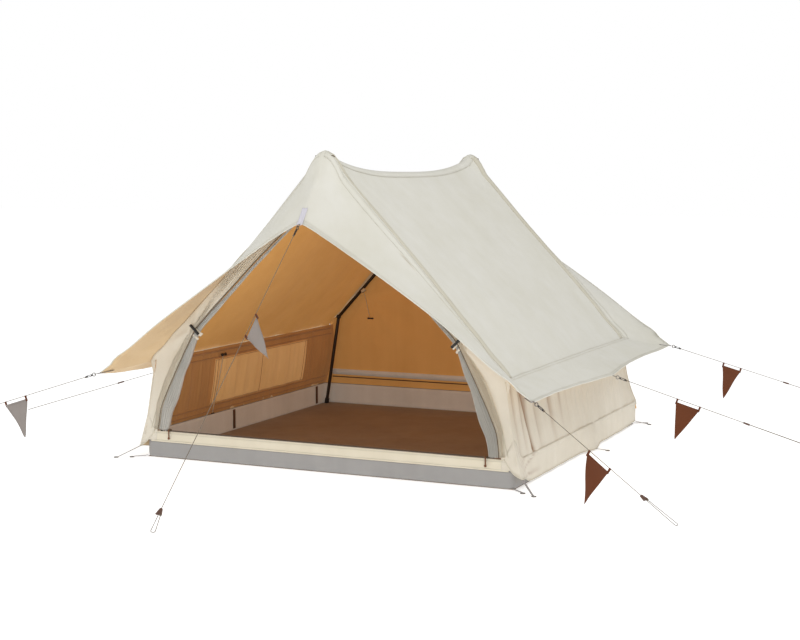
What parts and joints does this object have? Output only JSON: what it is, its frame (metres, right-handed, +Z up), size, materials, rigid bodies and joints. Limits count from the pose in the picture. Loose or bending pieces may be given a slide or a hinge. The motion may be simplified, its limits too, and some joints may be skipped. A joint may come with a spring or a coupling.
{
  "type": "ridge tent",
  "caption": "Cotton ridge tent with two house-shaped pole frames, sagging ridge, awnings, eave wings, tub groundsheet, tied-back doors, guy lines and pennants.",
  "frame": {"origin": "centre of the groundsheet, at the ground", "axes": "+Z up, -Y towards the doorway, +X to the right seen from the doorway; the ridge runs along Y"},
  "size_m": [4.7581, 4.4867, 1.5515],
  "materials": {
    "canvas": "woven cotton",
    "groundsheet": "coated woven fabric, brown",
    "tub_fabric": "coated woven fabric, grey-beige",
    "sill_fabric": "coated woven fabric, grey",
    "net": "insect net, grey",
    "webbing": "polyester webbing, grey",
    "guy_cord": "braided cord",
    "flag_brown": "brown flag cloth",
    "flag_grey": "grey flag cloth",
    "pole": "dark anodised",
    "joint_plastic": "black moulded",
    "slider_plastic": "brown moulded",
    "zip_teeth": "moulded coil",
    "zip_metal": "dark nickel",
    "leather": "brown",
    "ring_metal": "satin"
  },
  "bodies": {
    "tent": {"front_legs": "pole", "front_rafters": "pole", "rear_legs": "pole", "rear_rafters": "pole", "elbow_joints": "joint_plastic", "peak_hubs": "joint_plastic", "pole_feet": "joint_plastic", "groundsheet_floor": "groundsheet", "tub_walls": "tub_fabric", "front_sill": "sill_fabric", "sill_strip": "canvas", "roof_left": "canvas", "eave_wing_left": "canvas", "roof_right": "canvas", "eave_wing_right": "canvas", "ridge_binding": "canvas", "front_awning": "canvas", "rear_awning": "canvas", "sleeve_bands": "canvas", "front_gable": "canvas", "rear_gable": "canvas", "door_flaps": "canvas", "net_doors": "net", "side_wall_left": "canvas", "skirt_left": "canvas", "side_wall_right": "canvas", "skirt_right": "canvas", "window_covers": "canvas", "eave_bands": "webbing", "hanging_ties": "joint_plastic", "zip_chain": "zip_teeth", "toggle_loops": "canvas", "guy_tabs": "webbing", "guy_rings": "ring_metal", "guy_line_front": "guy_cord", "guy_line_front_right": "guy_cord", "guy_line_middle_right": "guy_cord", "guy_line_rear_right": "guy_cord", "guy_line_front_left": "guy_cord", "guy_line_middle_left": "guy_cord", "guy_hooks": "slider_plastic", "peg_loops": "webbing", "peg_rings": "ring_metal"},
    "zip_slider_left": {"zip_slider_left": "zip_metal"},
    "zip_pull_left": {"zip_pull_left": "leather"},
    "zip_slider_right": {"zip_slider_right": "zip_metal"},
    "zip_pull_right": {"zip_pull_right": "leather"},
    "door_toggle_left": {"door_toggle_left": "joint_plastic"},
    "door_toggle_right": {"door_toggle_right": "joint_plastic"},
    "slider_front": {"slider_front": "slider_plastic"},
    "pennant_front": {"pennant_front": "flag_grey"},
    "slider_front_right": {"slider_front_right": "slider_plastic"},
    "pennant_front_right": {"pennant_front_right": "flag_brown"},
    "slider_middle_right": {"slider_middle_right": "slider_plastic"},
    "pennant_middle_right": {"pennant_middle_right": "flag_brown"},
    "slider_rear_right": {"slider_rear_right": "slider_plastic"},
    "pennant_rear_right": {"pennant_rear_right": "flag_brown"},
    "slider_front_left": {"slider_front_left": "slider_plastic"},
    "pennant_front_left": {"pennant_front_left": "flag_grey"},
    "slider_middle_left": {"slider_middle_left": "slider_plastic"}
  },
  "joints": [
    {"name": "pennant_front_swing", "type": "hinge", "parent": "tent", "child": "pennant_front", "pos_m": [-0.021, -1.61986, 0.77524], "axis": [-0.0362, -0.6963, -0.7168], "range_deg": [-110, 110]},
    {"name": "slider_front_slide", "type": "slide", "parent": "tent", "child": "slider_front", "axis": [0.0362, 0.6963, 0.7168], "range_m": [0, 0.1]},
    {"name": "pennant_front_right_swing", "type": "hinge", "parent": "tent", "child": "pennant_front_right", "pos_m": [1.48925, -1.28834, 0.23248], "axis": [0.8193, -0.2226, -0.5285], "range_deg": [-110, 110]},
    {"name": "slider_front_right_slide", "type": "slide", "parent": "tent", "child": "slider_front_right", "axis": [-0.8193, 0.2226, 0.5285], "range_m": [0, 0.1]},
    {"name": "pennant_middle_right_swing", "type": "hinge", "parent": "tent", "child": "pennant_middle_right", "pos_m": [1.52527, 0.13305, 0.27748], "axis": [0.876, 0.3456, -0.3364], "range_deg": [-110, 110]},
    {"name": "slider_middle_right_slide", "type": "slide", "parent": "tent", "child": "slider_middle_right", "axis": [-0.876, -0.3456, 0.3364], "range_m": [0, 0.1]},
    {"name": "pennant_rear_right_swing", "type": "hinge", "parent": "tent", "child": "pennant_rear_right", "pos_m": [1.46065, 1.46705, 0.30897], "axis": [0.7001, 0.6428, -0.3108], "range_deg": [-110, 110]},
    {"name": "slider_rear_right_slide", "type": "slide", "parent": "tent", "child": "slider_rear_right", "axis": [-0.7001, -0.6428, 0.3108], "range_m": [0, 0.1]},
    {"name": "pennant_front_left_swing", "type": "hinge", "parent": "tent", "child": "pennant_front_left", "pos_m": [-1.61528, -1.26723, 0.29433], "axis": [-0.9427, -0.1384, -0.3036], "range_deg": [-110, 110]},
    {"name": "slider_front_left_slide", "type": "slide", "parent": "tent", "child": "slider_front_left", "axis": [0.9427, 0.1384, 0.3036], "range_m": [0, 0.1]},
    {"name": "slider_middle_left_slide", "type": "slide", "parent": "tent", "child": "slider_middle_left", "axis": [0.9562, 0.0188, 0.2922], "range_m": [0, 0.1]},
    {"name": "zip_slider_left_slide", "type": "slide", "parent": "tent", "child": "zip_slider_left", "axis": [1, 0, 0], "range_m": [0, 0.8]},
    {"name": "zip_pull_left_swing", "type": "hinge", "parent": "zip_slider_left", "child": "zip_pull_left", "pos_m": [-0.86, -1.0105, 0.146], "axis": [1, 0, 0], "range_deg": [-150, 5]},
    {"name": "door_toggle_left_turn", "type": "hinge", "parent": "tent", "child": "door_toggle_left", "pos_m": [-0.708, -0.99694, 0.664], "axis": [0, 1, 0], "range_deg": [-90, 90]},
    {"name": "zip_slider_right_slide", "type": "slide", "parent": "tent", "child": "zip_slider_right", "axis": [-1, 0, 0], "range_m": [0, 0.8]},
    {"name": "zip_pull_right_swing", "type": "hinge", "parent": "zip_slider_right", "child": "zip_pull_right", "pos_m": [0.86, -1.0105, 0.146], "axis": [1, 0, 0], "range_deg": [-150, 5]},
    {"name": "door_toggle_right_turn", "type": "hinge", "parent": "tent", "child": "door_toggle_right", "pos_m": [0.708, -0.99694, 0.664], "axis": [0, 1, 0], "range_deg": [-90, 90]}
  ]
}
